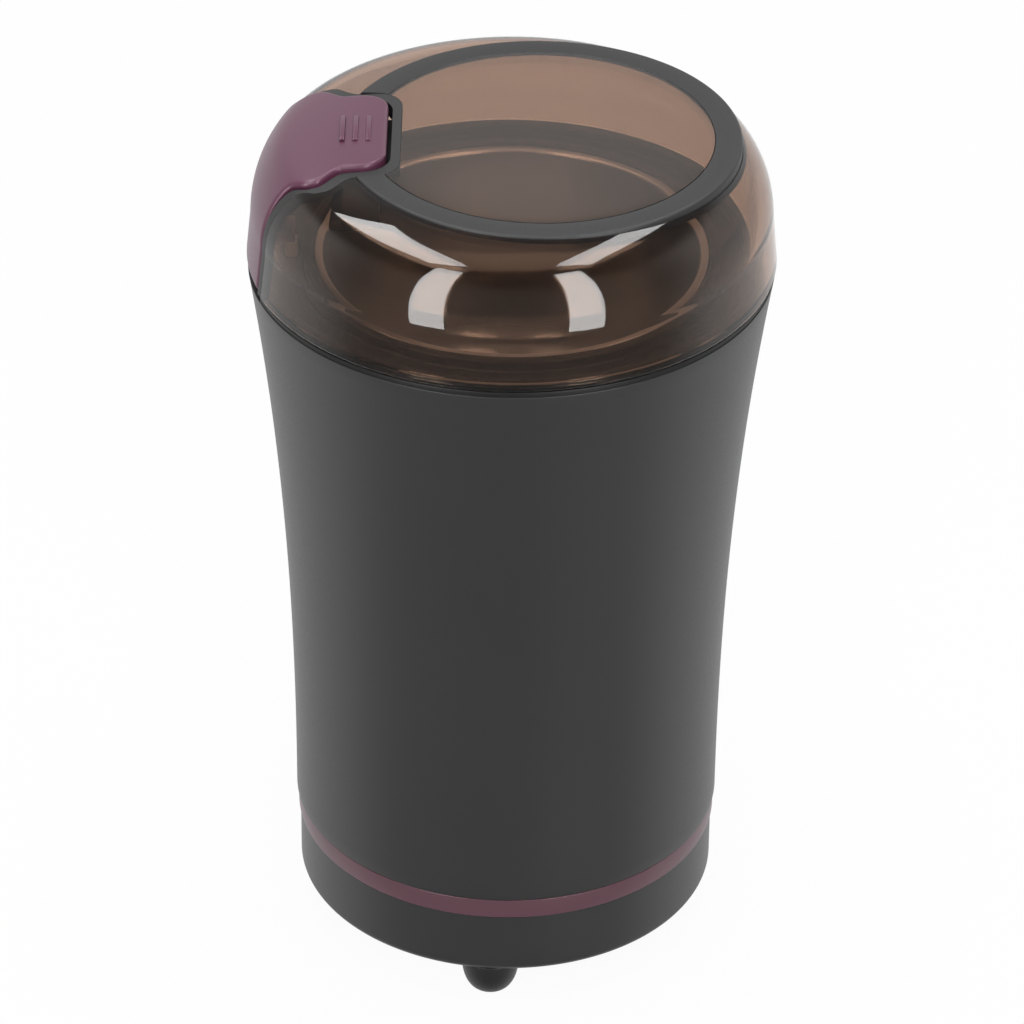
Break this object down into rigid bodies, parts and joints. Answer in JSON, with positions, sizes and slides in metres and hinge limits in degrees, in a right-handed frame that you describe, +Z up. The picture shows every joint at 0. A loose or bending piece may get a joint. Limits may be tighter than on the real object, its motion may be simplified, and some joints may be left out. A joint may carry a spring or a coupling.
{
  "type": "electric coffee grinder",
  "caption": "Waisted upright coffee grinder: motor body on feet, steel bowl with a spinning blade, and a lift-off smoke-clear lid whose side button works the switch.",
  "frame": {"origin": "on the centre line, at the surface that the feet stand on", "axes": "+Z up along the motor shaft, -X towards the push button, -Y towards the viewer of the picture"},
  "size_m": [0.0979, 0.098, 0.1699],
  "materials": {
    "satin_black_plastic": "satin",
    "dark_grey_plastic": "satin",
    "plum_plastic": "satin",
    "smoke_clear_plastic": "gloss",
    "black_rubber": "satin",
    "stainless_steel": "brushed",
    "zinc_steel": "satin",
    "sintered_bronze": "satin",
    "brass_strip": "satin",
    "copper_wire": "gloss",
    "lamination_steel": "matte",
    "carbon": "matte",
    "white_nylon": "satin",
    "red_plastic": "satin",
    "wire_sleeve": "satin"
  },
  "bodies": {
    "housing": {"body_shell": "satin_black_plastic", "trim_band": "plum_plastic", "base_cover": "satin_black_plastic", "rubber_feet": "black_rubber", "base_screws": "zinc_steel", "cord_gland": "black_rubber", "bowl_collar": "dark_grey_plastic", "grinding_bowl": "stainless_steel", "shaft_seal": "black_rubber", "motor_carrier": "dark_grey_plastic", "carrier_screws": "zinc_steel", "upper_bush": "sintered_bronze", "lower_bush": "sintered_bronze", "lower_bracket": "dark_grey_plastic", "motor_screws": "zinc_steel", "stator_core": "lamination_steel", "field_coils": "copper_wire", "brush_holders": "brass_strip", "carbon_brushes": "carbon", "brush_springs": "zinc_steel", "switch_bracket": "dark_grey_plastic", "switch_case": "satin_black_plastic", "switch_terminals": "brass_strip", "rod_spring": "zinc_steel", "lead_wires": "wire_sleeve"},
    "rotor": {"motor_shaft": "zinc_steel", "armature_core": "lamination_steel", "armature_windings": "copper_wire", "commutator": "copper_wire", "thrust_washers": "white_nylon", "blade_hub": "dark_grey_plastic", "grinding_blade": "stainless_steel", "blade_nut": "stainless_steel"},
    "lid": {"lid_shell": "smoke_clear_plastic", "window_ring": "dark_grey_plastic", "button_guide": "dark_grey_plastic", "button_spring": "zinc_steel"},
    "button": {"push_button": "plum_plastic", "button_screw": "zinc_steel"},
    "rod": {"switch_rod": "white_nylon"},
    "leaf": {"switch_leaf": "zinc_steel"},
    "plunger": {"switch_plunger": "red_plastic"}
  },
  "joints": [
    {"name": "rotor_spin", "type": "hinge", "parent": "housing", "child": "rotor", "pos_m": [0, 0, 0.1], "axis": [0, 0, 1], "continuous": true},
    {"name": "lid_lift", "type": "slide", "parent": "housing", "child": "lid", "axis": [0, 0, 1], "range_m": [0, 0.06]},
    {"name": "button_press", "type": "slide", "parent": "lid", "child": "button", "axis": [0, 0, -1], "range_m": [0, 0.0015], "stiffness_N_per_m": 900, "springref_m": -0.002, "deforming": ["button_spring"]},
    {"name": "rod_slide", "type": "slide", "parent": "housing", "child": "rod", "axis": [0, 0, -1], "range_m": [0, 0.0015], "deforming": ["rod_spring"]},
    {"name": "leaf_hinge", "type": "hinge", "parent": "housing", "child": "leaf", "pos_m": [-0.03895, 0.00525, 0.12065], "axis": [1, 0, 0], "range_deg": [0, 16.15]},
    {"name": "plunger_slide", "type": "slide", "parent": "housing", "child": "plunger", "axis": [0, 0, -1], "range_m": [0, 0.0008]}
  ],
  "couplings": [
    {"joint": "rod_slide", "follows": "button_press", "ratio": 1},
    {"joint": "leaf_hinge", "follows": "button_press", "rad_per_m": 185.53},
    {"joint": "plunger_slide", "follows": "button_press", "ratio": 0.5}
  ]
}
